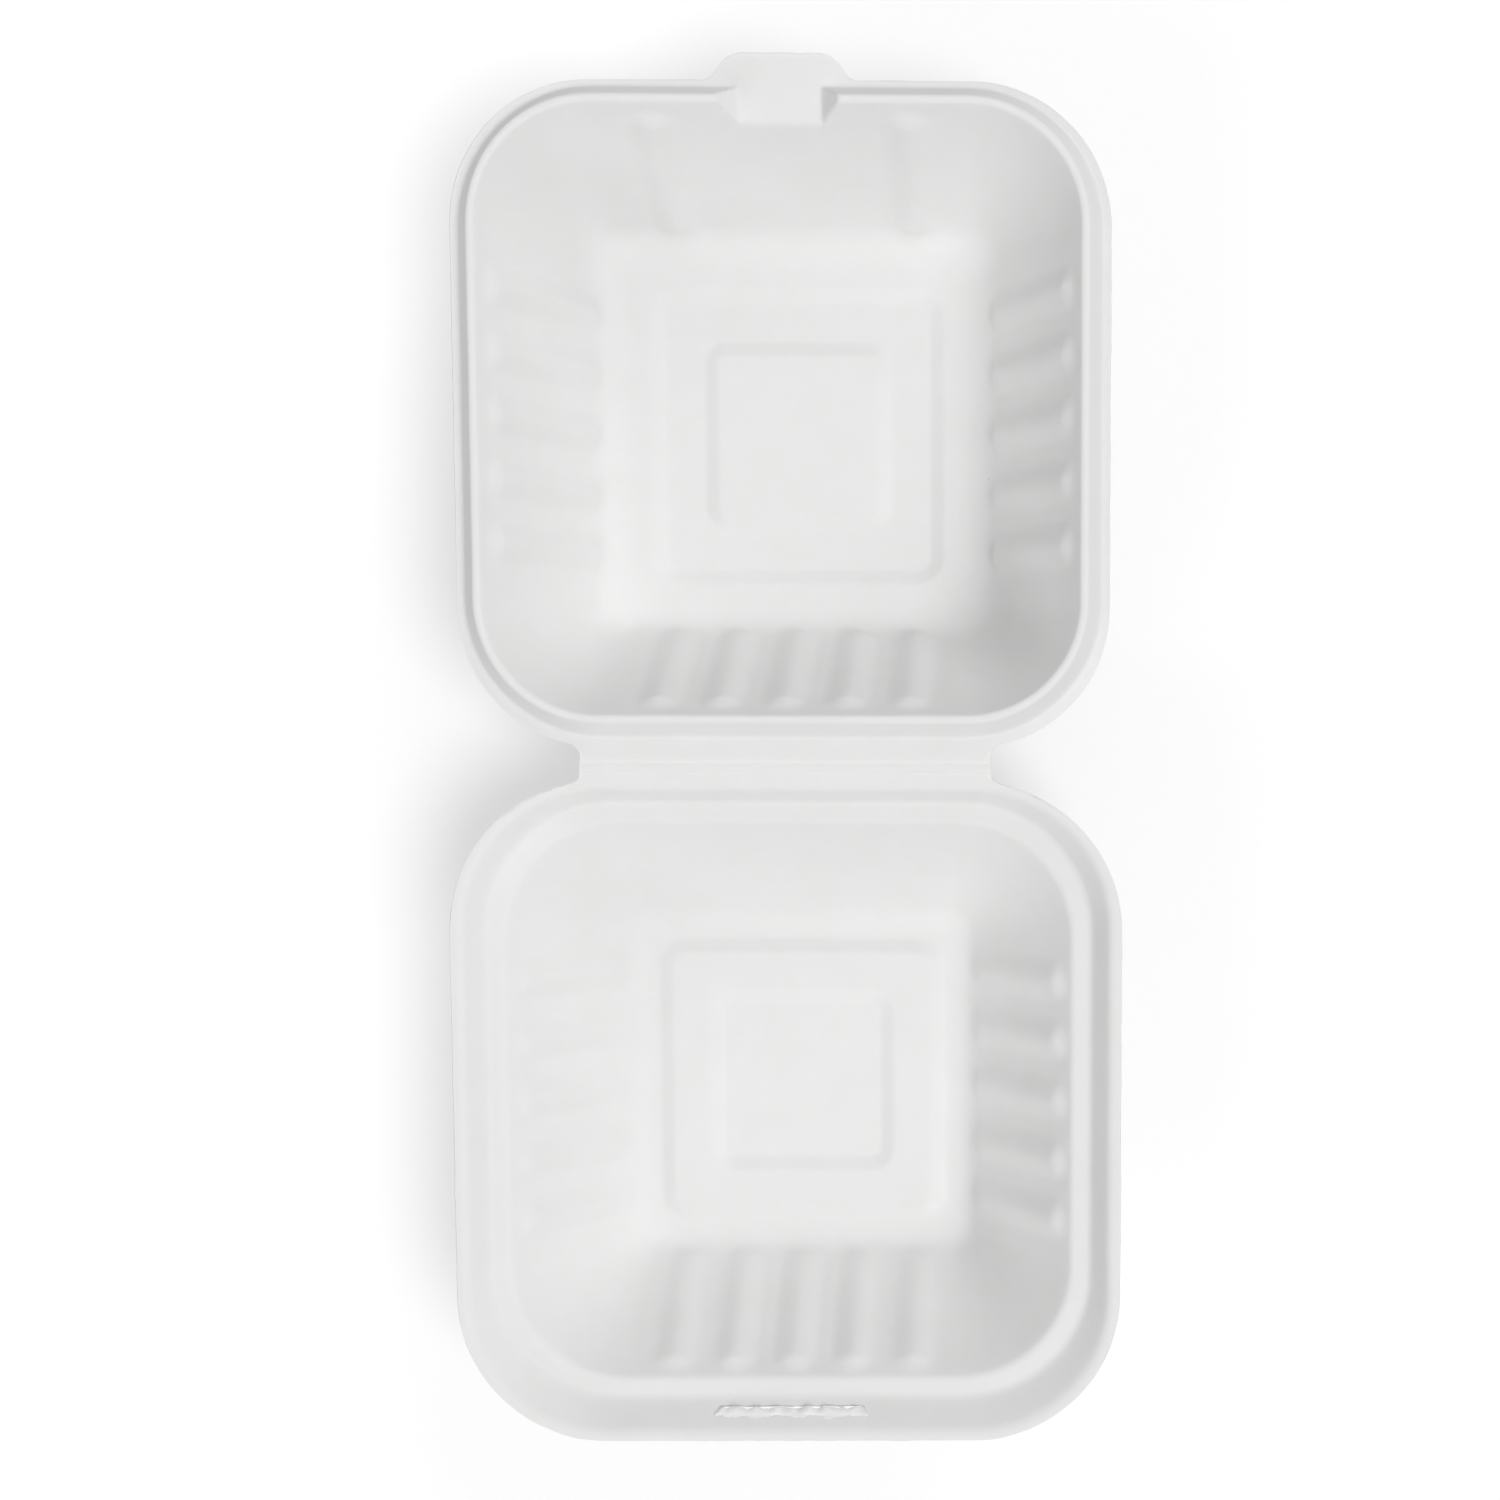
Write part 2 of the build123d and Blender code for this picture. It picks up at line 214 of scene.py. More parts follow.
class ClamshellStage(bpy.types.PropertyGroup):
    """Camera, lights and floor."""

    eye: FloatVectorProperty(
        name="Eye",
        description="Place of the camera",
        default=(50.55 * MM, 13.37 * MM, 540.8 * MM),
        subtype="TRANSLATION",
    )
    aim: FloatVectorProperty(
        name="Aim",
        description="Turn of the camera about X, Y and Z",
        default=(-0.0876, -0.0121, 0.0012),
        subtype="EULER",
    )
    lens: FloatProperty(name="Lens", description="Focal length of the camera", default=53.36, unit="CAMERA")
    shift_x: FloatProperty(name="Shift X", description="Sideways shift of the frame", default=-0.1913)
    shift_y: FloatProperty(name="Shift Y", description="Upward shift of the frame", default=0.1029)
    floor_side: length("Floor", "Side of the floor", 4.0)
    floor_drop: length("Floor drop", "Depth of the floor, clear of the sheet's unevenness", 0.12 * MM)
    floor_tone: colour("Floor colour", "Colour of the floor", (0.64, 0.64, 0.64))
    floor_glow: share("Floor glow", "Light that the floor shows to the camera by itself", 0.42)
    sky: share("Sky", "Strength of the even light from all round", 0.4)
    lamp_spread: angle("Lamp spread", "Width of each soft lamp, seen from the box", 30)
    key_lamp: share("Key lamp", "Strength of the high lamp at the right", 1.4)
    key_turn: angle("Key lamp's turn", "Turn of the key lamp about the box, from +X", 330)
    key_rise: angle("Key lamp's rise", "Height of the key lamp over the table", 64)
    back_lamp: share("Back lamp", "Strength of the low lamp behind the lid", 0.46)
    back_turn: angle("Back lamp's turn", "Turn of the back lamp about the box, from +X", 60)
    back_rise: angle("Back lamp's rise", "Height of the back lamp over the table", 32)
    front_lamp: share("Front lamp", "Strength of the low lamp in front of the base", 0.475)
    front_turn: angle("Front lamp's turn", "Turn of the front lamp about the box, from +X", 225)
    front_rise: angle("Front lamp's rise", "Height of the front lamp over the table", 32)


GROUPS = {
    "clamshell_sheet": ClamshellSheet,
    "clamshell_base": ClamshellBase,
    "clamshell_lid": ClamshellLid,
    "clamshell_fold": ClamshellFold,
    "clamshell_tongue": ClamshellTongue,
    "clamshell_finish": ClamshellFinish,
    "clamshell_stage": ClamshellStage,
}

# Loops round a tray: points on each straight side and in each corner. A loop starts on the front side,
# at its -X end, and goes round by +X. Its points are (x, distance from the fold, height).
STRAIGHT = 110
ARC = 24
SIDE = STRAIGHT + ARC
LOOP = 4 * SIDE
FRONT_MIDDLE = STRAIGHT // 2
BACK_MIDDLE = 2 * SIDE + STRAIGHT // 2
FRONT, RIGHT, BACK, LEFT = range(4)
COUNT_SHARES = (0, 0.12, 0.88, 1)  # of the front's points, which lie closer together round its middle
LENGTH_SHARES = (0, 0.26, 0.74, 1)  # of the front's length, where those points lie

# Loops from a tray's rim to the middle of its floor
STEP = 1.4 * MM  # between loops on a slope
LEVEL_STEP = 3.0 * MM  # between loops on a level
BEND_STEPS = 4
RIM_STEPS = 5
LEAD_SHARE = 1.15  # of the first bend, as room before it
LAST_HALF = 1.5 * MM  # half width of the last loop

# Trimmed outlines and edges
OUTLINE_ARC = 24  # points in an arc
TAB_ARC = 12  # points in a bend of the tab
FILLET_COLUMNS = 7  # to each side of a corner's end, along the fold's fillet
EDGE_DEPTH_SHARES = (0.3, 0.7)  # of the sheet, where the edge's two loops lie
EDGE_BEVEL_SHARE = 0.22  # of the sheet
EDGE_LOOK_SHARE = 0.7  # of the torn look, where the edge meets the faces
CREASE = math.radians(48)  # turn past which an edge is sharp

# Unevenness of the sheet
SWELL_WAVES = 9
SWELL_TILT = 0.7  # most that a wave follows the height
SWELL_LENGTHS = (18 * MM, 60 * MM)
SEAM_FADE = 5.0 * MM  # from the fold, where the waves fade in
STRAY_LIMIT = 2  # most that an edge strays, in its amounts
TINY = 1e-12  # keeps a division finite

NO_RIBS = 99  # first rib of a wall without ribs

# Torn outline of the slot
SLOT_SEED = 11
SLOT_UPPER_STRAY = 0.10 * MM
SLOT_LOWER_STRAY = 0.05 * MM
SLOT_END_SHARE = 0.97  # of a closed end

# Scored band of the fold
FOLD_ROWS = 33
FOLD_COLUMNS = 189
CREASE_STRAY = 0.05 * MM
CREASE_STRAY_COLUMNS = 15  # over which a crease strays
CREASE_STRENGTH = 0.65  # mean of how strongly a crease is pressed
CREASE_CHANGE = 0.35
CREASE_CHANGE_COLUMNS = 21  # over which the strength changes

# Torn tongue in the slot
TONGUE_COLUMNS = 181
TONGUE_OVERLAP = 0.2 * MM  # past each end of the slot
TONGUE_NARROWING = (0.4 * MM, 1.6 * MM)  # where it comes to nothing past the slot's end, and its length
TONGUE_PROUD = 0.10 * MM  # of the riser, at its root
TONGUE_THINNING = 0.08 * MM  # less proud at the lap's end
TONGUE_ROUGH = 0.03 * MM
TONGUE_DIP_CHANGE = 0.14  # radians
TONGUE_CURL = 0.3  # radians, from root to tip
FINE_SHARE = 0.3  # of the coarse unevenness
# Rows from the lap's end (-1) over the root (0) to the tip (1), each with its share of the thickness
TONGUE_ROW_SHARES = (
    (-1.0, 0.15),
    (-0.4, 0.5),
    (0.0, 0.8),
    (0.25, 1.0),
    (0.5, 0.95),
    (0.75, 0.75),
    (1.0, 0.35),
)


def smooth(values):
    """Smoothstep of values clipped to 0 and 1."""
    t = np.clip(values, 0.0, 1.0)
    return t * t * (3 - 2 * t)


def side_run(side):
    """Shares along a side where its points lie: closer together in the front's middle, even elsewhere."""
    even = np.linspace(0, 1, STRAIGHT, endpoint=False)
    if side != FRONT:
        return even
    return np.interp(even, COUNT_SHARES, LENGTH_SHARES)


def loop(section):
    """Points round a rounded rectangle, from its half width, back, front, corner radius and height."""
    half, back, front, corner, height = section
    low, high, flat = back + corner, front - corner, half - corner
    turn = np.linspace(0, math.pi / 2, ARC, endpoint=False)
    starts = ((-flat, front), (half, high), (flat, back), (-half, low))
    ends = ((flat, front), (half, low), (-flat, back), (-half, high))
    centres = ((flat, high), (flat, low), (-flat, low), (-flat, high))
    points = []
    for side in (FRONT, RIGHT, BACK, LEFT):
        start, end = np.array(starts[side]), np.array(ends[side])
        points.append(start + side_run(side)[:, None] * (end - start))
        turned = math.pi / 2 * (1 - side) - turn
        points.append(np.array(centres[side]) + corner * np.stack([np.cos(turned), np.sin(turned)], axis=1))
    flat_points = np.concatenate(points)
    return np.column_stack([flat_points, np.full(LOOP, height)])


def soften(keys, bends):
    """Sections along a line through the keys, with each inner key rounded over its bend."""
    keys = [np.array(key, float) for key in keys]
    sections = [keys[0]]
    for number in range(1, len(keys)):
        before, after = keys[number - 1], keys[number]
        span = math.hypot(after[0] - before[0], after[4] - before[4])
        first, last = bends[number - 1] / span, 1 - bends[number] / span
        step = LEVEL_STEP if before[4] == after[4] else STEP
        count = max(1, round((last - first) * span / step))
        for at in np.linspace(first, last, count + 1)[1:]:
            sections.append(before + at * (after - before))
        if number + 1 < len(keys):
            beyond = keys[number + 1]
            reach = math.hypot(beyond[0] - after[0], beyond[4] - after[4])
            entry, leave = sections[-1], after + bends[number] / reach * (beyond - after)
            for at in np.linspace(0, 1, BEND_STEPS + 1)[1:]:
                sections.append((1 - at) ** 2 * entry + 2 * at * (1 - at) * after + at**2 * leave)
    return sections


def arc(centre, radius, start, end, count=OUTLINE_ARC):
    """Points on an arc between two angles."""
    angles = np.linspace(start, end, count)
    return [(centre[0] + radius * math.cos(a), centre[1] + radius * math.sin(a)) for a in angles]


def rim_outline(tray, front, fold):
    """Right half of a rim's trimmed outline, from the front's middle to the fold, and its landmarks."""
    inner = (tray.half - tray.corner, tray.back + tray.corner)
    outer = (tray.half - tray.corner, front - tray.corner)
    across = fold.reach + fold.fillet - inner[0]
    along = math.sqrt((tray.corner + fold.fillet) ** 2 - across**2)
    hollow = (fold.reach + fold.fillet, inner[1] - along)
    touch = math.atan2(-along, across)
    points, marks = [(0.0, front)], [0]
    if hasattr(tray, "tab_length"):
        points = tab_outline(tray, front)
        marks.append(len(points) - 1)
    for centre, start, end in ((outer, math.pi / 2, 0), (inner, 0, touch)):
        marks.append(len(points))
        points += arc(centre, tray.corner, start, end)
        marks.append(len(points) - 1)
    meet = max(0.0, fold.half - hollow[1]) / fold.fillet
    points += arc(hollow, fold.fillet, touch + math.pi, math.pi - math.asin(meet))
    points += [(fold.reach, fold.half), (0.0, fold.half)]
    marks += [len(points) - 2, len(points) - 1]
    return np.array(points), marks


def tab_outline(lid, front):
    """Right half of the tab, from the middle of its tip to its root."""
    lean = math.atan2(lid.tab_length, lid.tab_root - lid.tab_end)
    tip_bend, root_bend = lid.tab_tip_bend, lid.tab_root_bend
    tip = (lid.tab_end - tip_bend * math.tan(lean / 2), front + lid.tab_length - tip_bend)
    root = (lid.tab_root + root_bend * math.tan(lean / 2), front + root_bend)
    points = [(0.0, front + lid.tab_length)]
    points += arc(tip, tip_bend, math.pi / 2, math.pi / 2 - lean, TAB_ARC)
    points += arc(root, root_bend, 1.5 * math.pi - lean, 1.5 * math.pi, TAB_ARC)
    return points


def rim_seats(tray, inside, outline, marks):
    """Columns of a loop that lie against an outline's landmarks."""
    seats = [FRONT_MIDDLE]
    if hasattr(tray, "tab_length"):
        tab_root = outline[marks[1], 0]
        seats.append(FRONT_MIDDLE + int(np.sum(inside[FRONT_MIDDLE:STRAIGHT, 0] < tab_root)))
    rear = SIDE + STRAIGHT
    turn = rear + ARC
    return seats + [STRAIGHT, SIDE, rear, turn - FILLET_COLUMNS, turn + FILLET_COLUMNS, BACK_MIDDLE]


def distances(path):
    """Distance of each point along a path."""
    return np.concatenate([[0], np.cumsum(np.linalg.norm(np.diff(path, axis=0), axis=1))])


def trimmed_edge(inside, outline, marks, seats):
    """Loop on the trimmed outline: the right half, spread between the landmarks, and its mirror."""
    right = np.arange(FRONT_MIDDLE, BACK_MIDDLE + 1)
    walked = distances(inside[right, :2])
    measured = distances(outline)
    stations = np.interp(walked, walked[np.array(seats) - FRONT_MIDDLE], measured[marks])
    edge = inside.copy()
    edge[right, 0] = np.interp(stations, measured, outline[:, 0])
    edge[right, 1] = np.interp(stations, measured, outline[:, 1])
    left = (2 * FRONT_MIDDLE - right) % LOOP
    edge[left, 0] = -edge[right, 0]
    edge[left, 1] = edge[right, 1]
    return edge


def wander(count, amount, rng, softness=5):
    """Smooth random numbers round a loop."""
    raw = rng.normal(size=count)
    kernel = np.hanning(softness + 2)[1:-1]
    padded = np.concatenate([raw[-softness:], raw, raw[:softness]])
    soft = np.convolve(padded, kernel / np.linalg.norm(kernel), mode="same")[softness:-softness]
    return amount * np.clip(soft, -STRAY_LIMIT, STRAY_LIMIT)


def swell(points, amount, rng):
    """Slow unevenness of a dried sheet, as a sum of waves."""
    total = np.zeros(points.shape[:-1])
    for _ in range(SWELL_WAVES):
        heading = rng.uniform(0, 2 * math.pi)
        tilt = rng.uniform(-SWELL_TILT, SWELL_TILT)
        number = 2 * math.pi / rng.uniform(*SWELL_LENGTHS)
        level = points[..., 0] * math.cos(heading) + points[..., 1] * math.sin(heading)
        total += np.sin(number * (level + tilt * points[..., 2]) + rng.uniform(0, 2 * math.pi))
    return amount * total / math.sqrt(SWELL_WAVES)


def normals(sheet):
    """Upward normals of a sheet of loops."""
    around = np.roll(sheet, -1, axis=1) - np.roll(sheet, 1, axis=1)
    inwards = np.gradient(sheet, axis=0)
    normal = np.cross(around, inwards)
    normal /= np.linalg.norm(normal, axis=2, keepdims=True) + TINY
    return np.where(normal[..., 2:] < 0, -normal, normal)


def tray_loops(tray, front, fold, keys, bends):
    """Loops of a tray, from its trimmed edge over the rim and the keys' sections to the floor's middle."""
    room = LEAD_SHARE * bends[0]
    lead = np.array(keys[0]) + (room, -room, room, room, 0)
    sections = soften([lead, *keys], [0, *bends])
    inside = loop(sections[0])
    outline, marks = rim_outline(tray, front, fold)
    edge = trimmed_edge(inside, outline, marks, rim_seats(tray, inside, outline, marks))
    rim = [edge + at * (inside - edge) for at in np.linspace(0, 1, RIM_STEPS, endpoint=False)]
    return rim + [loop(section) for section in sections]


def shell(name, loops, seam, hole, sheet, sign):
    """Closed mesh of a sheet: its upper face from the loops, its under face a sheet's thickness below."""
    top = np.array(loops)
    stock = sheet.stock
    rng = np.random.default_rng(sheet.seed)
    normal = normals(top)
    from_seam = top[..., 1] - seam
    top = top + normal * (swell(top, sheet.waviness, rng) * smooth(from_seam / SEAM_FADE))[..., None]
    under = top - normal * stock
    outward = top[0] - top[2]
    outward[:, 2] = 0
    outward /= np.linalg.norm(outward, axis=1, keepdims=True)
    outward *= smooth(from_seam[0] / stock)[:, None]
    roughed = wander(LOOP, sheet.edge_wander, rng)[:, None] * outward
    edge = np.stack([top[0] + roughed - (0, 0, depth * stock) for depth in EDGE_DEPTH_SHARES])
    for face in (top, under):
        face[0] += roughed - EDGE_BEVEL_SHARE * stock * outward
    middle = top[-1].mean(axis=0)
    rows = len(top)
    points = np.concatenate(
        [top.reshape(-1, 3), edge.reshape(-1, 3), under.reshape(-1, 3), [middle, middle - (0, 0, stock)]]
    )
    first_edge, first_under = rows * LOOP, (rows + len(edge)) * LOOP
    chain = [row * LOOP for row in reversed(range(rows))]
    chain += [first_edge + row * LOOP for row in range(len(edge))]
    chain += [first_under + row * LOOP for row in range(rows)]
    faces = []
    for number, (here, there) in enumerate(zip(chain, chain[1:])):
        row = rows - 2 - number if number < rows - 1 else number - rows - len(edge)
        for i in range(LOOP):
            if hole and hole[0] <= row < hole[1] and hole[2] <= i < hole[3]:
                continue
            j = (i + 1) % LOOP
            faces.append((here + i, here + j, there + j, there + i))
    for i in range(LOOP):
        j = (i + 1) % LOOP
        faces.append((len(points) - 2, chain[0] + j, chain[0] + i))
        faces.append((len(points) - 1, chain[-1] + i, chain[-1] + j))
    if hole:
        faces += hole_walls(hole, first_under)
    points[:, 1] *= sign
    if sign > 0:
        faces = [face[::-1] for face in faces]
    mesh = bpy.data.meshes.new(name)
    mesh.from_pydata(points.tolist(), [], faces)
    outside = np.zeros(len(points))
    outside[first_under:] = 1
    outside[-2] = 0
    store(mesh, "outside", outside)
    nearness = np.zeros(len(points))
    nearness[first_edge:first_under] = 1
    nearness[:LOOP] = nearness[first_under : first_under + LOOP] = EDGE_LOOK_SHARE
    store(mesh, "trimmed", nearness)
    return mesh


def hole_walls(hole, first_under):
    """Faces through the sheet, round a hole that spans rows and columns of the loops."""
    top_row, low_row, start, end = hole
    rim = [(top_row, i) for i in range(start, end)]
    rim += [(row, end) for row in range(top_row, low_row)]
    rim += [(low_row, i) for i in range(end, start, -1)]
    rim += [(row, start) for row in range(low_row, top_row, -1)]
    walls = []
    for (row, i), (next_row, next_i) in zip(rim, rim[1:] + rim[:1]):
        a, b = row * LOOP + i, next_row * LOOP + next_i
        walls.append((b, a, first_under + a, first_under + b))
    return walls


def slab_faces(rows, columns):
    """Faces of a closed slab: a grid of points above, a like grid below it, and walls on its four sides."""
    count = rows * columns
    faces = []
    for r in range(rows - 1):
        for c in range(columns - 1):
            a = r * columns + c
            quad = (a, a + 1, a + columns + 1, a + columns)
            faces.append(quad)
            faces.append(tuple(count + v for v in reversed(quad)))
    for r in range(rows - 1):
        for c in (0, columns - 1):
            a, b = r * columns + c, (r + 1) * columns + c
            quad = (a, b, count + b, count + a)
            faces.append(quad[::-1] if c else quad)
    for c in range(columns - 1):
        for r in (0, rows - 1):
            a = r * columns + c
            quad = (a, a + 1, count + a + 1, count + a)
            faces.append(quad if r else quad[::-1])
    return faces


def store(mesh, name, values):
    """Point attribute of numbers or vectors."""
    values = np.asarray(values, np.float32)
    kind, field = ("FLOAT", "value") if values.ndim == 1 else ("FLOAT_VECTOR", "vector")
    mesh.attributes.new(name, kind, "POINT").data.foreach_set(field, values.ravel())


def store_ribs(mesh, middle, mouth, floor_height, lean, first_ribs, sign):
    """Attributes that give a point's place along and up its wall, the way inwards and the first rib."""
    points = np.empty(len(mesh.vertices) * 3, np.float32)
    mesh.vertices.foreach_get("co", points)
    points = points.reshape(-1, 3).astype(float)
    x, y = points[:, 0], sign * points[:, 1] - middle
    slant = math.sqrt(1 + lean**2)
    sideways = np.abs(x) > np.abs(y)
    side = np.where(sideways, np.where(x > 0, RIGHT, LEFT), np.where(y > 0, FRONT, BACK))
    inward_x = np.where(sideways, -np.sign(x), 0)
    inward_y = np.where(sideways, 0, -sign * np.sign(y))
    inward = np.column_stack([inward_x, inward_y, np.full(len(x), lean)]) / slant
    store(mesh, "rib_along", np.where(sideways, y, x))
    store(mesh, "rib_up", (points[:, 2] - floor_height) * slant)
    on_wall = np.maximum(np.abs(x), np.abs(y)) < mouth
    store(mesh, "rib_first", np.where(on_wall, np.array(first_ribs, float)[side], NO_RIBS))
    store(mesh, "rib_inward", inward)


def link(tree, start, start_socket, end, end_socket):
    """Link between two sockets, by name or number."""
    tree.links.new(start.outputs[start_socket], end.inputs[end_socket])


def feed(tree, socket, value):
    """Links an output socket to a socket, or gives it a plain value."""
    if isinstance(value, bpy.types.NodeSocket):
        tree.links.new(value, socket)
    else:
        socket.default_value = value


def maths(tree, operation, *values):
    """Math node on one or two values, each a number or an output socket."""
    node = tree.nodes.new("ShaderNodeMath")
    node.operation = operation
    for socket, value in zip(node.inputs, values):
        feed(tree, socket, value)
    return node.outputs[0]


def attribute_value(tree, name, kind="FLOAT"):
    """Named attribute as a field."""
    node = tree.nodes.new("GeometryNodeInputNamedAttribute")
    node.data_type = kind
    node.inputs["Name"].default_value = name
    return node.outputs["Attribute"]


def rib_tree():
    """Geometry node tree that presses rows of round-ended ribs into a wall."""
    tree = bpy.data.node_groups.new("Pressed ribs", "GeometryNodeTree")
    face = tree.interface
    face.new_socket("Geometry", in_out="INPUT", socket_type="NodeSocketGeometry")
    for name in ("Pitch", "Half Width", "Height", "Taper", "Low End", "High End", "Bluntness", "Last Rib"):
        face.new_socket(name, in_out="INPUT", socket_type="NodeSocketFloat")
    face.new_socket("Material", in_out="INPUT", socket_type="NodeSocketMaterial")
    face.new_socket("Geometry", in_out="OUTPUT", socket_type="NodeSocketGeometry")
    given = tree.nodes.new("NodeGroupInput").outputs
    along = attribute_value(tree, "rib_along")
    up = attribute_value(tree, "rib_up")
    first = attribute_value(tree, "rib_first")
    nearest = maths(tree, "ROUND", maths(tree, "DIVIDE", along, given["Pitch"]))
    number = maths(tree, "MINIMUM", nearest, given["Last Rib"])
    number = maths(tree, "MAXIMUM", number, maths(tree, "MULTIPLY", given["Last Rib"], -1.0))
    beside = maths(tree, "SUBTRACT", along, maths(tree, "MULTIPLY", number, given["Pitch"]))
    on_crest = maths(tree, "MINIMUM", maths(tree, "MAXIMUM", up, given["Low End"]), given["High End"])
    beyond = maths(tree, "MULTIPLY", maths(tree, "SUBTRACT", up, on_crest), given["Bluntness"])
    squares = [maths(tree, "MULTIPLY", value, value) for value in (beside, beyond)]
    away = maths(tree, "DIVIDE", maths(tree, "SQRT", maths(tree, "ADD", *squares)), given["Half Width"])
    profile = remap(tree, away, 0.0, 1.0, 1.0, 0.0)
    counted = maths(tree, "GREATER_THAN", maths(tree, "ADD", maths(tree, "ABSOLUTE", number), 0.5), first)
    rise = maths(tree, "MULTIPLY", maths(tree, "MULTIPLY", profile, counted), given["Height"])
    crest_run = maths(tree, "SUBTRACT", given["High End"], given["Low End"])
    down = maths(tree, "DIVIDE", maths(tree, "SUBTRACT", given["High End"], on_crest), crest_run)
    kept = maths(tree, "SUBTRACT", 1.0, maths(tree, "MULTIPLY", down, given["Taper"]))
    rise = maths(tree, "MULTIPLY", rise, kept)
    offset = tree.nodes.new("ShaderNodeVectorMath")
    offset.operation = "SCALE"
    tree.links.new(attribute_value(tree, "rib_inward", "FLOAT_VECTOR"), offset.inputs[0])
    tree.links.new(rise, offset.inputs["Scale"])
    press = tree.nodes.new("GeometryNodeSetPosition")
    tree.links.new(given["Geometry"], press.inputs["Geometry"])
    tree.links.new(offset.outputs[0], press.inputs["Offset"])
    realize = tree.nodes.new("GeometryNodeRealizeInstances")
    link(tree, press, "Geometry", realize, "Geometry")
    dress = tree.nodes.new("GeometryNodeSetMaterial")
    link(tree, realize, "Geometry", dress, "Geometry")
    tree.links.new(given["Material"], dress.inputs["Material"])
    link(tree, dress, "Geometry", tree.nodes.new("NodeGroupOutput"), "Geometry")
    return tree


def press_ribs(piece, sheet, tray, high_end, material):
    """Runs the rib tree on a piece and keeps the result as its plain mesh."""
    tree = bpy.data.node_groups.get("Pressed ribs") or rib_tree()
    values = {
        "Pitch": sheet.rib_pitch,
        "Half Width": sheet.rib_half,
        "Height": sheet.rib_height,
        "Taper": tray.rib_taper,
        "Low End": sheet.rib_low,
        "High End": high_end - sheet.rib_half / sheet.rib_blunt,
        "Bluntness": sheet.rib_blunt,
        "Last Rib": float(sheet.rib_last),
        "Material": material,
    }
    modifier = piece.modifiers.new("Pressed ribs", "NODES")
    modifier.node_group = tree
    for item in tree.interface.items_tree:
        if item.item_type == "SOCKET" and item.in_out == "INPUT" and item.name in values:
            modifier[item.identifier] = values[item.name]
    evaluated = piece.evaluated_get(bpy.context.evaluated_depsgraph_get())
    pressed = bpy.data.meshes.new_from_object(evaluated)
    piece.modifiers.remove(modifier)
    bare = piece.data
    piece.data = pressed
    bpy.data.meshes.remove(bare)
    pressed.name = piece.name


def add_piece(mesh, name):
    """Object for a mesh, at the origin."""
    piece = bpy.data.objects.new(name, mesh)
    bpy.context.scene.collection.objects.link(piece)
    return piece


def finish_piece(piece, material):
    """Smooth shading, one material and its slot."""
    if not piece.data.materials:
        piece.data.materials.append(material)
    piece.data.polygons.foreach_set("use_smooth", np.ones(len(piece.data.polygons), bool))
    piece.data.set_sharp_from_angle(angle=CREASE)


def shader_group(name, inputs, outputs):
    """Empty shader node group with named value sockets, and its input and output nodes."""
    group = bpy.data.node_groups.new(name, "ShaderNodeTree")
    for socket, kind in inputs.items():
        group.interface.new_socket(socket, in_out="INPUT", socket_type=kind)
    for socket, kind in outputs.items():
        group.interface.new_socket(socket, in_out="OUTPUT", socket_type=kind)
    return group, group.nodes.new("NodeGroupInput").outputs, group.nodes.new("NodeGroupOutput").inputs


def noise(tree, vector, scale, detail, roughness):
    """Noise texture's value."""
    node = tree.nodes.new("ShaderNodeTexNoise")
    node.inputs["Detail"].default_value = detail
    node.inputs["Roughness"].default_value = roughness
    tree.links.new(vector, node.inputs["Vector"])
    tree.links.new(scale, node.inputs["Scale"])
    return node.outputs[0]


def remap(tree, value, low, high, to_low=0.0, to_high=1.0):
    """Value stretched from one range to another, and clamped."""
    node = tree.nodes.new("ShaderNodeMapRange")
    node.interpolation_type = "SMOOTHSTEP"
    for socket, number in zip(("From Min", "From Max", "To Min", "To Max"), (low, high, to_low, to_high)):
        node.inputs[socket].default_value = number
    tree.links.new(value, node.inputs["Value"])
    return node.outputs[0]


VECTOR, NUMBER = "NodeSocketVector", "NodeSocketFloat"
MIX_INPUTS = (6, 7)  # numbers of a mix node's colour sockets
MIX_OUTPUT = 2

# Pulp
CLOUD_RANGE = (0.36, 0.66)  # of the noise
CLOUD_TINT = 0.55  # strength of the clouds' colour
STRAND_STRETCHES = ((1.0, 0.16, 0.5), (0.16, 1.0, 0.5), (0.6, 0.6, 0.14))  # of three layers of fibres
GRIT_SCALE_SHARE = 0.35  # of the fibres' scale
GRIT_SHARE = 0.7  # of the fibres' depth
FLECK_SIZE_SHARE = 0.05  # of a cell, for the largest fleck
BARE_SHARE = 0.86  # of the cells, which have no fleck
FLECK_STRENGTH = 0.75  # of the darkest fleck
SCREEN_RISE_SHARE = 0.7  # of how fast the print's waves run along the floor, for a climb
FELT_ROUGHNESS = 0.08  # that fibres add
PRESS_SHEEN = 0.06  # roughness that the press takes away
OUTSIDE_ROUGHNESS = 0.06  # that the unpressed side adds
EDGE_FUZZ = 1.5  # extra depth of the fibre marks on a trimmed edge

# Stage
FLOOR_ROUGHNESS = 0.9
CAMERA_FRAME = 36.0  # millimetres
WHITE = (1.0, 1.0, 1.0, 1.0)


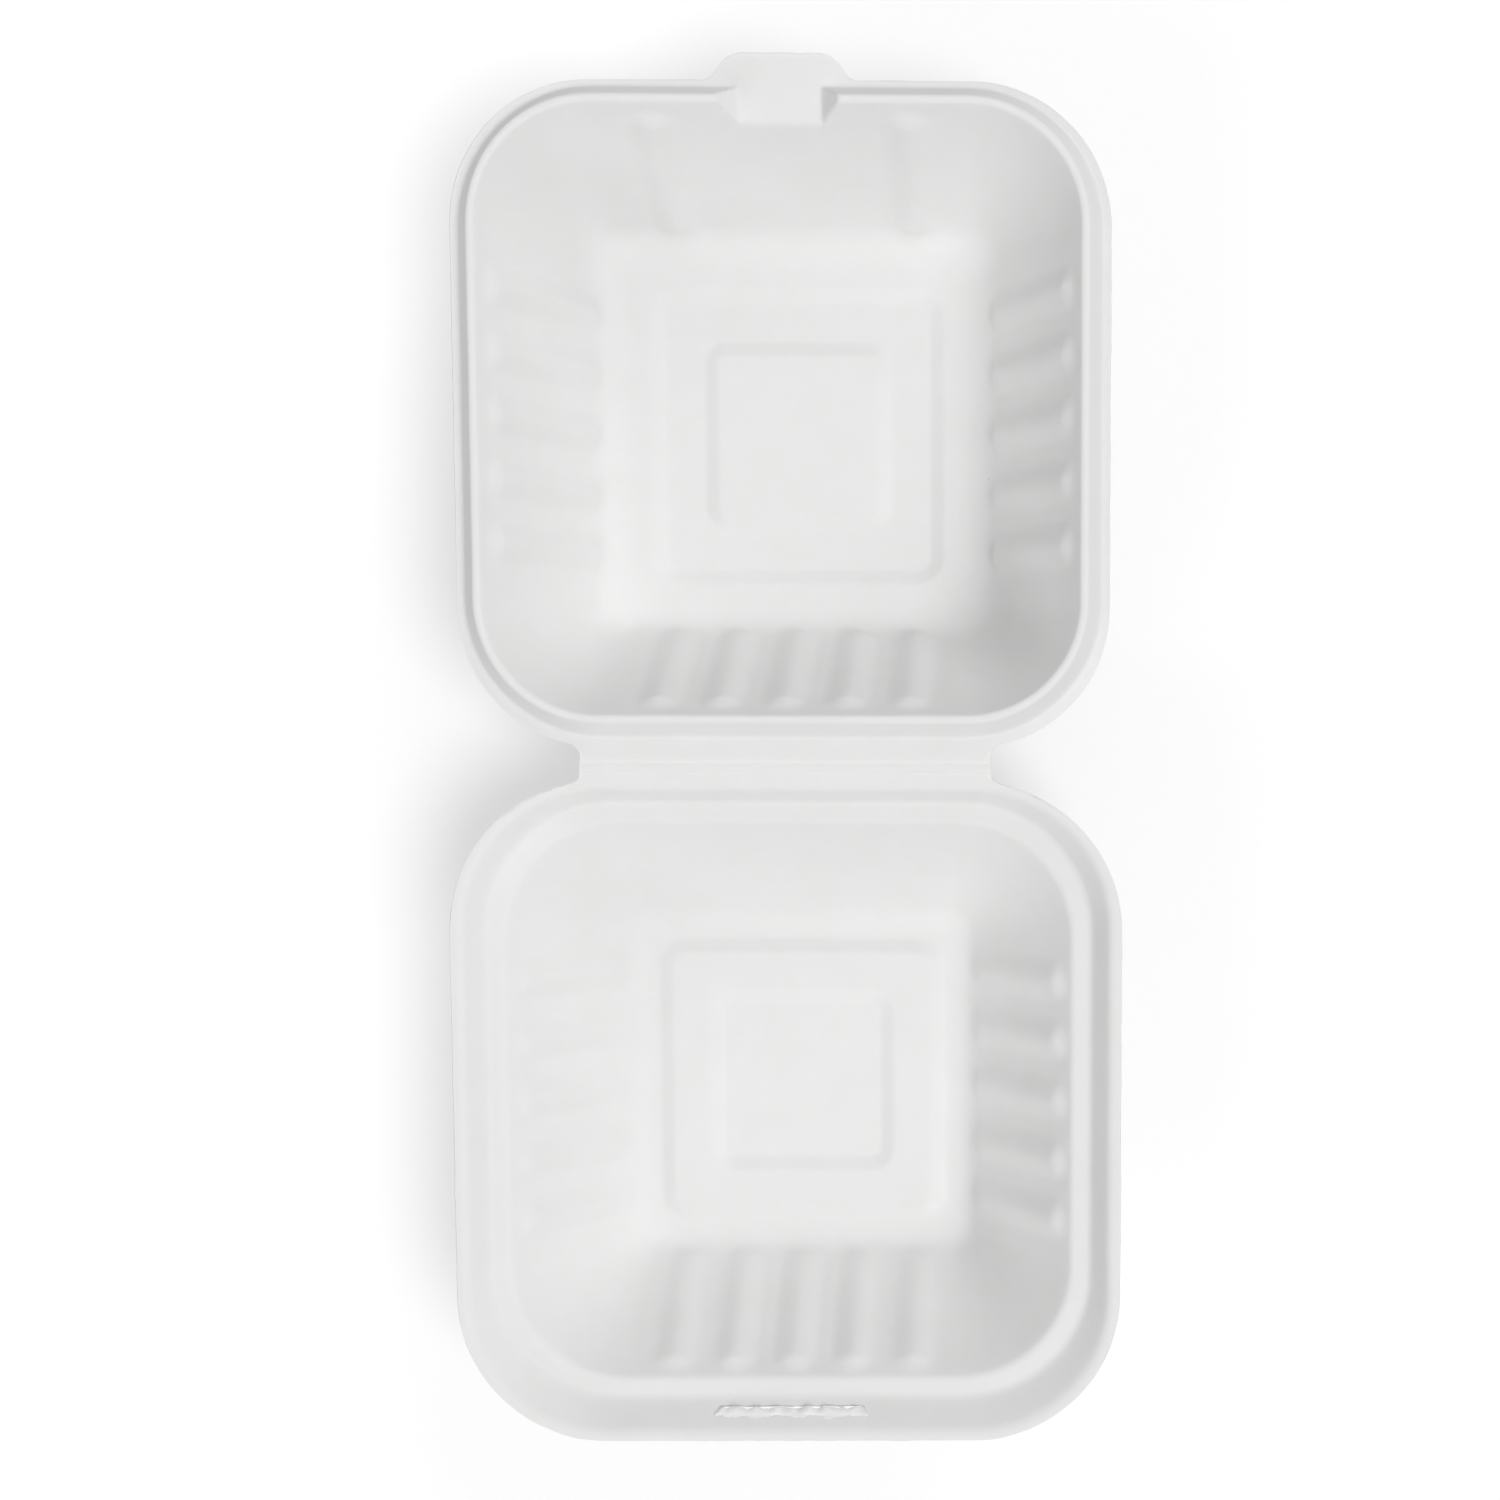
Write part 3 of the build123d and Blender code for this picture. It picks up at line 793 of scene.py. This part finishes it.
def felt_group():
    """Matted fibres: fine crossing strands for height and slow clouds of thicker and thinner pulp."""
    tree, given, out = shader_group(
        "Matted fibre",
        {"Vector": VECTOR, "Cloud Scale": NUMBER, "Felt Scale": NUMBER},
        {"Cloud": NUMBER, "Felt": NUMBER},
    )
    slow = noise(tree, given["Vector"], given["Cloud Scale"], detail=4.0, roughness=0.62)
    tree.links.new(remap(tree, slow, *CLOUD_RANGE), out["Cloud"])
    strands = None
    for stretch in STRAND_STRETCHES:
        squeeze = tree.nodes.new("ShaderNodeMapping")
        squeeze.inputs["Scale"].default_value = stretch
        tree.links.new(given["Vector"], squeeze.inputs["Vector"])
        layer = noise(tree, squeeze.outputs[0], given["Felt Scale"], detail=2.0, roughness=0.6)
        strands = layer if strands is None else maths(tree, "MAXIMUM", strands, layer)
    grit_scale = maths(tree, "MULTIPLY", given["Felt Scale"], GRIT_SCALE_SHARE)
    grit = noise(tree, given["Vector"], grit_scale, detail=3.0, roughness=0.6)
    tree.links.new(maths(tree, "ADD", strands, maths(tree, "MULTIPLY", grit, GRIT_SHARE)), out["Felt"])
    return tree


def fleck_group():
    """Stray flecks: a small spot in a few of the cells."""
    tree, given, out = shader_group("Stray flecks", {"Vector": VECTOR, "Scale": NUMBER}, {"Fleck": NUMBER})
    cells = tree.nodes.new("ShaderNodeTexVoronoi")
    tree.links.new(given["Vector"], cells.inputs["Vector"])
    tree.links.new(given["Scale"], cells.inputs["Scale"])
    pick = tree.nodes.new("ShaderNodeSeparateColor")
    link(tree, cells, "Color", pick, "Color")
    size = maths(tree, "MULTIPLY", pick.outputs["Green"], FLECK_SIZE_SHARE)
    near = maths(tree, "LESS_THAN", cells.outputs["Distance"], size)
    few = maths(tree, "GREATER_THAN", pick.outputs["Red"], BARE_SHARE)
    strength = maths(tree, "MULTIPLY", pick.outputs["Blue"], FLECK_STRENGTH)
    tree.links.new(maths(tree, "MULTIPLY", maths(tree, "MULTIPLY", near, few), strength), out["Fleck"])
    return tree


def screen_group():
    """Print of the mould's wire screen, as a height."""
    tree, given, out = shader_group("Screen print", {"Vector": VECTOR, "Pitch": NUMBER}, {"Height": NUMBER})
    split = tree.nodes.new("ShaderNodeSeparateXYZ")
    tree.links.new(given["Vector"], split.inputs[0])
    turn = maths(tree, "DIVIDE", 2 * math.pi, given["Pitch"])
    rise = maths(tree, "MULTIPLY", split.outputs["Z"], SCREEN_RISE_SHARE)
    waves = []
    for axis in ("X", "Y"):
        along = maths(tree, "ADD", split.outputs[axis], rise)
        waves.append(maths(tree, "SINE", maths(tree, "MULTIPLY", along, turn)))
    tree.links.new(maths(tree, "MULTIPLY", *waves), out["Height"])
    return tree


def place_group(tree, make, name, **values):
    """Shader group node, made once, with its values set or linked."""
    node = tree.nodes.new("ShaderNodeGroup")
    node.node_tree = bpy.data.node_groups.get(name) or make()
    for socket, value in values.items():
        feed(tree, node.inputs[socket.replace("_", " ").title()], value)
    return node.outputs


def mix_colour(tree, factor, first, second):
    """Mix of two colours, each a tuple or an output socket."""
    node = tree.nodes.new("ShaderNodeMix")
    node.data_type = "RGBA"
    tree.links.new(factor, node.inputs["Factor"])
    for number, value in zip(MIX_INPUTS, (first, second)):
        feed(tree, node.inputs[number], value if isinstance(value, bpy.types.NodeSocket) else (*value, 1.0))
    return node.outputs[MIX_OUTPUT]


def surface_value(tree, name):
    """Point attribute as a shader value."""
    node = tree.nodes.new("ShaderNodeAttribute")
    node.attribute_name = name
    return node.outputs["Fac"]


def pulp_material(finish):
    """Bleached moulded pulp: matte and clouded, with fibre marks, flecks and a screen print outside."""
    found = bpy.data.materials.get("moulded_pulp")
    if found:
        return found
    material = bpy.data.materials.new("moulded_pulp")
    material.use_nodes = True
    tree = material.node_tree
    shader = tree.nodes["Principled BSDF"]
    shader.inputs["Specular IOR Level"].default_value = finish.specular
    where = tree.nodes.new("ShaderNodeTexCoord").outputs["Object"]
    scales = {"cloud_scale": finish.cloud_scale, "felt_scale": finish.felt_scale}
    felt = place_group(tree, felt_group, "Matted fibre", vector=where, **scales)
    fleck = place_group(tree, fleck_group, "Stray flecks", vector=where, scale=finish.fleck_scale)
    screen = place_group(tree, screen_group, "Screen print", vector=where, pitch=finish.screen_pitch)
    trimmed, outside = surface_value(tree, "trimmed"), surface_value(tree, "outside")
    tint = mix_colour(tree, maths(tree, "MULTIPLY", felt["Cloud"], CLOUD_TINT), finish.pulp, finish.cloud)
    tint = mix_colour(tree, trimmed, tint, finish.torn)
    tint = mix_colour(tree, fleck["Fleck"], tint, finish.fleck)
    tree.links.new(tint, shader.inputs["Base Color"])
    fibres = maths(tree, "MULTIPLY", felt["Felt"], FELT_ROUGHNESS)
    rough = maths(tree, "ADD", fibres, finish.roughness - PRESS_SHEEN)
    rough = maths(tree, "ADD", rough, maths(tree, "MULTIPLY", outside, OUTSIDE_ROUGHNESS))
    tree.links.new(rough, shader.inputs["Roughness"])
    printed = maths(tree, "MULTIPLY", screen["Height"], outside)
    printed = maths(tree, "MULTIPLY", printed, finish.screen_depth)
    fuzz = maths(tree, "ADD", maths(tree, "MULTIPLY", trimmed, EDGE_FUZZ), 1.0)
    matted = maths(tree, "MULTIPLY", maths(tree, "MULTIPLY", felt["Felt"], fuzz), finish.felt_depth)
    bump = tree.nodes.new("ShaderNodeBump")
    bump.inputs["Distance"].default_value = 1.0
    tree.links.new(maths(tree, "ADD", matted, printed), bump.inputs["Height"])
    link(tree, bump, "Normal", shader, "Normal")
    return material


def floor_keys(sheet, tray, middle, half, height, rise):
    """Sections and bends of a floor with its two pressed squares, from the wall's foot to the middle."""
    keys, bends = [(half, middle - half, middle + half, tray.floor_corner, height)], [tray.floor_bend]
    level = height
    for side, radius, step in (
        (sheet.ring_side, sheet.ring_corner, rise),
        (sheet.pad_side, sheet.pad_corner, -rise),
    ):
        for grow in (1, -1):
            reach = (side + grow * sheet.emboss_run) / 2
            corner = radius + grow * sheet.emboss_run / 2
            keys.append((reach, middle - reach, middle + reach, corner, level))
            bends.append(sheet.emboss_bend)
            level += step if grow > 0 else 0
    keys.append((LAST_HALF, middle - LAST_HALF, middle + LAST_HALF, LAST_HALF / 2, level))
    bends.append(0)
    return keys, bends


def press_tray(scene, name, loops, hole, tray, wall, first_ribs, sign):
    """Piece of a tray, with ribs pressed into its wall between the heights of the wall's mouth and foot."""
    sheet = scene.clamshell_sheet
    material = pulp_material(scene.clamshell_finish)
    middle, mouth, mouth_height, foot_height = wall
    mesh = shell(name, loops, scene.clamshell_fold.half, hole, sheet, sign)
    lean = tray.wall_run / (mouth_height - foot_height)
    store_ribs(mesh, middle, mouth, foot_height, lean, first_ribs, sign)
    piece = add_piece(mesh, name)
    high_end = (mouth_height - tray.rib_stop - foot_height) * math.sqrt(1 + lean**2)
    press_ribs(piece, sheet, tray, high_end, material)
    finish_piece(piece, material)
    return piece


def slab_piece(scene, name, top, low, outside, trimmed):
    """Piece of a slab between two grids of points, with its shares of outer face and trimmed edge."""
    rows, columns, _ = top.shape
    mesh = bpy.data.meshes.new(name)
    points = np.concatenate([top.reshape(-1, 3), low.reshape(-1, 3)])
    mesh.from_pydata(points.tolist(), [], slab_faces(rows, columns))
    store(mesh, "outside", outside)
    store(mesh, "trimmed", trimmed)
    piece = add_piece(mesh, name)
    finish_piece(piece, pulp_material(scene.clamshell_finish))
    return piece


def front_riser(base):
    """Foot of the front riser's middle, its directions up the slope and out of the face, and its length."""
    ledge_half = base.half - base.lip_side - base.riser_side
    ledge_front = base.back + base.lip_back + base.riser_back + 2 * ledge_half
    foot = np.array([ledge_front, base.rim - base.ledge_depth])
    climb = np.array([base.front - base.lip_front, base.rim]) - foot
    slope = float(np.linalg.norm(climb))
    climb /= slope
    return foot, climb, np.array([-climb[1], climb[0]]), slope


class CLAMSHELL_OT_base(bpy.types.Operator):
    """Presses the base: lip, riser with its slot, ledge, ribbed wall and stacking floor"""

    bl_idname = "clamshell.base"
    bl_label = "Base tray"

    def execute(self, context):
        scene = context.scene
        sheet, base, fold = scene.clamshell_sheet, scene.clamshell_base, scene.clamshell_fold
        floor_height = sheet.stock
        ledge_height = base.rim - base.ledge_depth
        riser_half = base.half - base.lip_side
        riser_corner = base.corner - base.lip_side
        ledge_half = riser_half - base.riser_side
        ledge_back = base.back + base.lip_back + base.riser_back
        middle = ledge_back + ledge_half
        mouth = ledge_half - base.ledge_width
        floor_half = mouth - base.wall_run
        floor, floor_bends = floor_keys(sheet, base, middle, floor_half, floor_height, sheet.emboss)
        keys = [
            (riser_half, base.back + base.lip_back, base.front - base.lip_front, riser_corner, base.rim),
            (ledge_half, ledge_back, middle + ledge_half, base.ledge_corner, ledge_height),
            (mouth, middle - mouth, middle + mouth, base.mouth_corner, ledge_height),
        ]
        bends = [base.lip_bend, base.ledge_bend, base.ledge_bend]
        loops = tray_loops(base, base.front, fold, keys + floor, bends + floor_bends)
        hole = self.cut_slot(loops, base)
        wall = (middle, mouth, ledge_height, floor_height)
        piece = press_tray(scene, "base_tray", loops, hole, base, wall, (0, 0, NO_RIBS, 0), -1)
        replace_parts(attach(piece, "base"), "base")
        return {"FINISHED"}

    def cut_slot(self, loops, base):
        """Draws loops of the front riser to a torn, round-ended slit, and gives its rows and columns."""
        foot, climb, _, slope = front_riser(base)
        centre, reach = base.slot_share * slope, base.slot_height / 2
        up = [(points[FRONT_MIDDLE, 1:] - foot) @ climb for points in loops]
        on_riser = [row for row, at in enumerate(up) if 0 < at < slope and loops[row][0, 2] > foot[1]]
        top_row = min(on_riser, key=lambda row: abs(up[row] - centre - reach))
        low_row = min(on_riser, key=lambda row: abs(up[row] - centre + reach))
        x = loops[top_row][:STRAIGHT, 0]
        columns = np.flatnonzero(np.abs(x) <= base.slot_half)
        rng = np.random.default_rng(SLOT_SEED)
        near_end = np.clip((np.abs(x[columns]) - base.slot_half + reach) / reach, 0, SLOT_END_SHARE)
        tall = reach * np.sqrt(1 - near_end**2)
        high = centre + tall + wander(len(columns), SLOT_UPPER_STRAY, rng)
        low = centre - tall + wander(len(columns), SLOT_LOWER_STRAY, rng)
        for row in range(top_row, low_row + 1):
            at = (row - top_row) / (low_row - top_row)
            moved = high + at * (low - high) - up[row]
            loops[row][columns, 1:] += moved[:, None] * climb
        return top_row, low_row, int(columns[0]), int(columns[-1])


class CLAMSHELL_OT_lid(bpy.types.Operator):
    """Presses the lid: flange with its tab, plug with its notch, ribbed wall and stacking floor"""

    bl_idname = "clamshell.lid"
    bl_label = "Lid tray"

    def execute(self, context):
        scene = context.scene
        sheet, lid, fold = scene.clamshell_sheet, scene.clamshell_lid, scene.clamshell_fold
        rim = scene.clamshell_base.rim
        front = lid.tab_tip - lid.tab_length
        floor_height = sheet.emboss + sheet.stock
        plug = lid.half - lid.flange
        middle = lid.back + lid.flange_back + plug
        crest_outer = plug - lid.drop_run
        crest_inner = crest_outer - lid.crest_width
        crest_corner = lid.mouth_corner + lid.crest_width
        floor_half = crest_inner - lid.wall_run
        floor, floor_bends = floor_keys(sheet, lid, middle, floor_half, floor_height, -sheet.emboss)
        keys = [
            (plug, middle - plug, middle + plug, crest_corner + lid.drop_run, rim),
            (crest_outer, middle - crest_outer, middle + crest_outer, crest_corner, lid.crest),
            (crest_inner, middle - crest_inner, middle + crest_inner, lid.mouth_corner, lid.crest),
        ]
        bends = [lid.foot_bend, lid.crest_bend, lid.crest_bend]
        loops = tray_loops(lid, front, fold, keys + floor, bends + floor_bends)
        self.press_notch(loops, lid, rim, middle)
        wall = (middle, crest_inner, lid.crest, floor_height)
        piece = press_tray(scene, "lid_tray", loops, None, lid, wall, (sheet.rib_last, 0, 0, 0), 1)
        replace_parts(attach(piece, "lid"), "lid")
        return {"FINISHED"}

    def press_notch(self, loops, lid, rim, middle):
        """Cuts the plug down behind the tab to the rim's height, with a flat slope at each side."""
        slope = (lid.crest - rim) / (lid.notch_mouth - lid.notch_floor)
        for points in loops:
            raised = (points[:, 2] > rim) & (points[:, 1] > middle) & (np.abs(points[:, 0]) < lid.tab_root)
            allowed = rim + slope * np.clip(np.abs(points[raised, 0]) - lid.notch_floor, 0, None)
            points[raised, 2] = np.minimum(points[raised, 2], allowed)


class CLAMSHELL_OT_fold(bpy.types.Operator):
    """Lays the scored band, where the box folds, flat between the base and the lid"""

    bl_idname = "clamshell.fold"
    bl_label = "Fold band"

    def execute(self, context):
        scene = context.scene
        sheet, fold = scene.clamshell_sheet, scene.clamshell_fold
        rim = scene.clamshell_base.rim
        across = np.linspace(-fold.half, fold.half, FOLD_ROWS)
        along = np.linspace(-fold.reach, fold.reach, FOLD_COLUMNS)
        rng = np.random.default_rng(sheet.seed)
        x, y = np.meshgrid(along, across)
        shift = wander(FOLD_COLUMNS, CREASE_STRAY, rng, CREASE_STRAY_COLUMNS)
        height = np.full(x.shape, rim)
        for crease in (-fold.crease, fold.crease):
            change = np.clip(wander(FOLD_COLUMNS, 1.0, rng, CREASE_CHANGE_COLUMNS), -1, 1)
            strength = CREASE_STRENGTH + CREASE_CHANGE * change
            away = np.abs(y - crease - shift) / fold.crease_half
            height -= fold.crease_depth * strength * (1 - smooth(away))
        under = rim - sheet.stock + fold.score * np.clip(1 - np.abs(y) / fold.half, 0, 1)
        top, low = np.stack([x, y, height], axis=-1), np.stack([x, y, under], axis=-1)
        outside = np.repeat([0.0, 1.0], x.size)
        ends = np.isin(np.arange(x.size) % FOLD_COLUMNS, (0, FOLD_COLUMNS - 1))
        piece = slab_piece(scene, "fold_band", top, low, outside, np.tile(ends, 2))
        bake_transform(piece)
        return {"FINISHED"}


class CLAMSHELL_OT_tongue(bpy.types.Operator):
    """Tears the tongue of fibre that is left in the slot"""

    bl_idname = "clamshell.tongue"
    bl_label = "Torn tongue"

    def execute(self, context):
        scene = context.scene
        base, tongue = scene.clamshell_base, scene.clamshell_tongue
        rng = np.random.default_rng(tongue.seed)
        foot, climb, proud, slope = front_riser(base)
        root = foot + climb * (base.slot_share * slope + base.slot_height / 2)
        half = base.slot_half + TONGUE_OVERLAP
        along = np.linspace(-half, half, TONGUE_COLUMNS)
        past, run = TONGUE_NARROWING
        ends = smooth((base.slot_half + past - np.abs(along)) / run)

        def stray(amount, softness):
            """Unevenness along the tongue."""
            return wander(TONGUE_COLUMNS, amount, rng, softness)

        reach = tongue.reach + stray(tongue.ragged, softness=11)
        reach = (reach + stray(FINE_SHARE * tongue.ragged, softness=3)) * ends
        lap = tongue.lap + stray(tongue.lap, softness=15)
        lap = np.abs(lap + stray(FINE_SHARE * tongue.lap, softness=4))
        dip = tongue.dip + stray(TONGUE_DIP_CHANGE, softness=17)
        top, low = [], []
        for at, thick_share in TONGUE_ROW_SHARES:
            rough = stray(TONGUE_ROUGH, softness=7)[:, None] * proud
            if at <= 0:
                line = root + (-at * lap)[:, None] * climb
                line += (TONGUE_PROUD + TONGUE_THINNING * at) * proud + rough
            else:
                hang = np.stack([-np.cos(dip + TONGUE_CURL * at), -np.sin(dip + TONGUE_CURL * at)], 1)
                line = root + TONGUE_PROUD * proud + (at * reach)[:, None] * hang + rough
            points = np.stack([along, -line[:, 0], line[:, 1]], 1)
            half_thick = (0, 0, thick_share * tongue.thick / 2)
            top.append(points + half_thick)
            low.append(points - half_thick)
        top, low = np.array(top), np.array(low)
        trimmed = np.ones(2 * len(TONGUE_ROW_SHARES) * TONGUE_COLUMNS)
        piece = slab_piece(scene, "slot_tongue", top, low, np.zeros(len(trimmed)), trimmed)
        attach(piece, "base")
        return {"FINISHED"}


class CLAMSHELL_OT_stage(bpy.types.Operator):
    """Sets the pale floor, the even sky, the soft lamps and the camera"""

    bl_idname = "clamshell.stage"
    bl_label = "Stage"

    def execute(self, context):
        scene = context.scene
        stage = scene.clamshell_stage
        scene.view_settings.view_transform = "Standard"
        self.lay_floor(stage)
        self.light_sky(scene, stage)
        for name in ("key", "back", "front"):
            self.hang_lamp(scene, stage, name)
        lens = bpy.data.cameras.new("eye")
        lens.lens = stage.lens
        lens.sensor_width = CAMERA_FRAME
        lens.shift_x, lens.shift_y = stage.shift_x, stage.shift_y
        eye = bpy.data.objects.new("eye", lens)
        eye.location = stage.eye
        eye.rotation_mode = "QUATERNION"
        eye.rotation_quaternion = Euler(stage.aim, "ZYX").to_quaternion()
        scene.collection.objects.link(eye)
        scene.camera = eye
        return {"FINISHED"}

    def hang_lamp(self, scene, stage, name):
        """Wide, distant lamp that shines on the box from its turn and rise."""
        lamp = bpy.data.lights.new(name + "_lamp", "SUN")
        lamp.energy = getattr(stage, name + "_lamp")
        lamp.angle = stage.lamp_spread
        holder = bpy.data.objects.new(name + "_lamp", lamp)
        fall = math.pi / 2 - getattr(stage, name + "_rise")
        holder.rotation_euler = (0.0, fall, getattr(stage, name + "_turn"))
        scene.collection.objects.link(holder)

    def lay_floor(self, stage):
        """Pale floor that keeps the box's shadow and shows white to the camera."""
        reach = stage.floor_side / 2
        corners = ((-reach, -reach), (reach, -reach), (reach, reach), (-reach, reach))
        mesh = bpy.data.meshes.new("floor")
        mesh.from_pydata([(x, y, -stage.floor_drop) for x, y in corners], [], [(0, 1, 2, 3)])
        floor = add_piece(mesh, "floor")
        material = bpy.data.materials.new("floor_paper")
        material.use_nodes = True
        tree = material.node_tree
        shader = tree.nodes["Principled BSDF"]
        shader.inputs["Base Color"].default_value = (*stage.floor_tone, 1.0)
        shader.inputs["Roughness"].default_value = FLOOR_ROUGHNESS
        shader.inputs["Specular IOR Level"].default_value = 0.0
        shader.inputs["Emission Color"].default_value = WHITE
        seen = self.seen_rays(tree)
        tree.links.new(maths(tree, "MULTIPLY", seen, stage.floor_glow), shader.inputs["Emission Strength"])
        mesh.materials.append(material)

    def light_sky(self, scene, stage):
        """Even sky that lights at its strength and shows white to the camera."""
        world = bpy.data.worlds.new("sky")
        world.use_nodes = True
        tree = world.node_tree
        background = tree.nodes["Background"]
        background.inputs["Color"].default_value = WHITE
        seen = self.seen_rays(tree)
        lit = maths(tree, "ADD", maths(tree, "MULTIPLY", seen, 1.0 - stage.sky), stage.sky)
        tree.links.new(lit, background.inputs["Strength"])
        scene.world = world

    def seen_rays(self, tree):
        """1 for rays from the camera and for mirrored and passed ones."""
        path = tree.nodes.new("ShaderNodeLightPath").outputs
        seen = maths(tree, "MAXIMUM", path["Is Camera Ray"], path["Is Glossy Ray"])
        return maths(tree, "MAXIMUM", seen, path["Is Transmission Ray"])


OPERATORS = (
    CLAMSHELL_OT_base,
    CLAMSHELL_OT_lid,
    CLAMSHELL_OT_fold,
    CLAMSHELL_OT_tongue,
    CLAMSHELL_OT_stage,
)


class CLAMSHELL_PT_panel(bpy.types.Panel):
    """Lists the pieces of the box and their sizes"""

    bl_idname = "CLAMSHELL_PT_panel"
    bl_label = "Clamshell"
    bl_space_type = "VIEW_3D"
    bl_region_type = "UI"
    bl_category = "Clamshell"

    def draw(self, context):
        for operator in OPERATORS:
            self.layout.operator(operator.bl_idname)
        for name, group in GROUPS.items():
            box = self.layout.box()
            box.label(text=group.__doc__)
            for key in group.__annotations__:
                box.prop(getattr(context.scene, name), key)


def register():
    for group in GROUPS.values():
        bpy.utils.register_class(group)
    for name, group in GROUPS.items():
        setattr(bpy.types.Scene, name, PointerProperty(type=group))
    for operator in OPERATORS:
        bpy.utils.register_class(operator)
    bpy.utils.register_class(CLAMSHELL_PT_panel)


def unregister():
    bpy.utils.unregister_class(CLAMSHELL_PT_panel)
    for operator in reversed(OPERATORS):
        bpy.utils.unregister_class(operator)
    for name in GROUPS:
        delattr(bpy.types.Scene, name)
    for group in reversed(list(GROUPS.values())):
        bpy.utils.unregister_class(group)


def main():
    register()
    bpy.ops.clamshell.base()
    bpy.ops.clamshell.lid()
    bpy.ops.clamshell.fold()
    bpy.ops.clamshell.tongue()
    bpy.ops.clamshell.stage()


if __name__ == "__main__":
    main()
